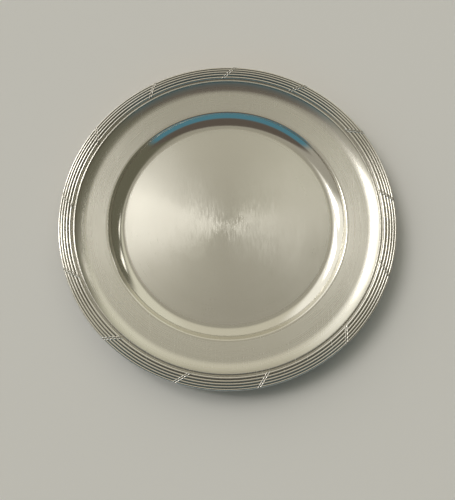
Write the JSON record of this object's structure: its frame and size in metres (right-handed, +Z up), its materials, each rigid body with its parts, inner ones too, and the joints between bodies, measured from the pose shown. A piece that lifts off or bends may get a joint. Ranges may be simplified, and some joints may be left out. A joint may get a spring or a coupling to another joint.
{
  "type": "paten plate",
  "caption": "Round silver-plated plate with a sunk well, a broad plain marly and a reeded border crossed by slanted ribbon ties.",
  "frame": {"origin": "centre of the flat underside, on the surface that the plate stands on", "axes": "+Z up out of the well along the axis of the round plate; +X to the right and +Y away from the viewer"},
  "size_m": [0.3, 0.3, 0.0199],
  "materials": {
    "dish_silver": "silver-plated, satin well and marly with fine turned marks, polished wall",
    "border_silver": "silver-plated, polished reeds with darker valleys",
    "tie_silver": "silver-plated, polished"
  },
  "bodies": {
    "root": {"dish": "dish_silver", "border_moulding_1": "border_silver", "border_moulding_2": "border_silver", "ribbon_tie_01": "tie_silver", "ribbon_tie_02": "tie_silver", "ribbon_tie_03": "tie_silver", "ribbon_tie_04": "tie_silver", "ribbon_tie_05": "tie_silver", "ribbon_tie_06": "tie_silver", "ribbon_tie_07": "tie_silver", "ribbon_tie_08": "tie_silver", "ribbon_tie_09": "tie_silver", "ribbon_tie_10": "tie_silver", "ribbon_tie_11": "tie_silver", "ribbon_tie_12": "tie_silver", "ribbon_tie_13": "tie_silver"}
  },
  "joints": []
}
